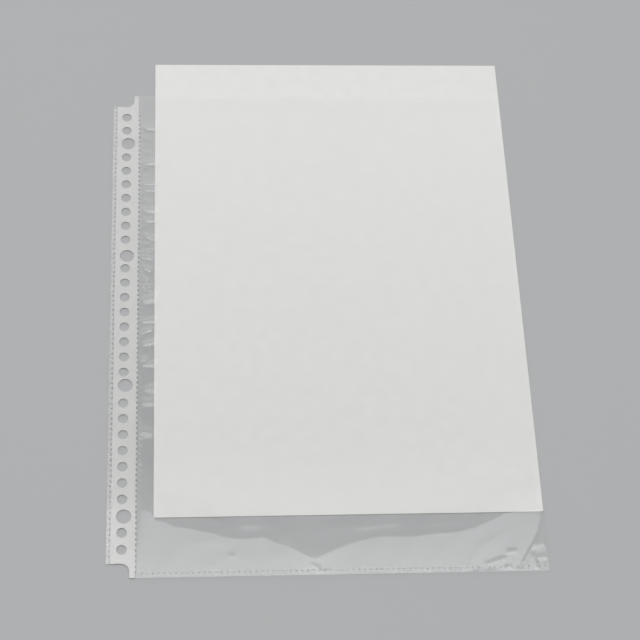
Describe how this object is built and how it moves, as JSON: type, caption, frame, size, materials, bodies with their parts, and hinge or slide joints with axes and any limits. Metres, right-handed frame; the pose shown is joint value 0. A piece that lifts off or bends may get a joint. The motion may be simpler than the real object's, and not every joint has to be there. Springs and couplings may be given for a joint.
{
  "type": "sheet protector",
  "caption": "Clear film pocket for an A4 sheet, open at the top, with a white punched binding strip beside it and a blank sheet part way out.",
  "frame": {"origin": "middle of the small ring-hole line, on the back face that the pocket lies on", "axes": "+X from the binding strip across the pocket to the fold, +Y along the strip to the open mouth, +Z out of the front face"},
  "size_m": [0.2353, 0.3306, 0.0005],
  "materials": {
    "clear_film": "clear cast film, glossy",
    "welded_film": "fused film, knurled",
    "white_strip": "opaque white sheet plastic, satin",
    "paper": "smooth uncoated"
  },
  "bodies": {
    "binding_edge": {"binding_strip": "white_strip", "back_margin_film": "clear_film", "front_margin_film": "clear_film", "edge_weld_band": "welded_film", "side_weld_spots": "welded_film"},
    "pocket": {"pocket_back_film": "clear_film", "pocket_front_film": "clear_film", "folded_edge": "clear_film", "bottom_weld_spots": "welded_film"},
    "insert": {"insert_sheet": "paper"}
  },
  "joints": [
    {"name": "page_turn", "type": "hinge", "parent": "binding_edge", "child": "pocket", "pos_m": [0.0083, 0, 0.00046], "axis": [0, -1, 0], "range_deg": [0, 170]},
    {"name": "insert_slide", "type": "slide", "parent": "pocket", "child": "insert", "axis": [0, 1, 0], "range_m": [-0.03, 0.28]}
  ]
}
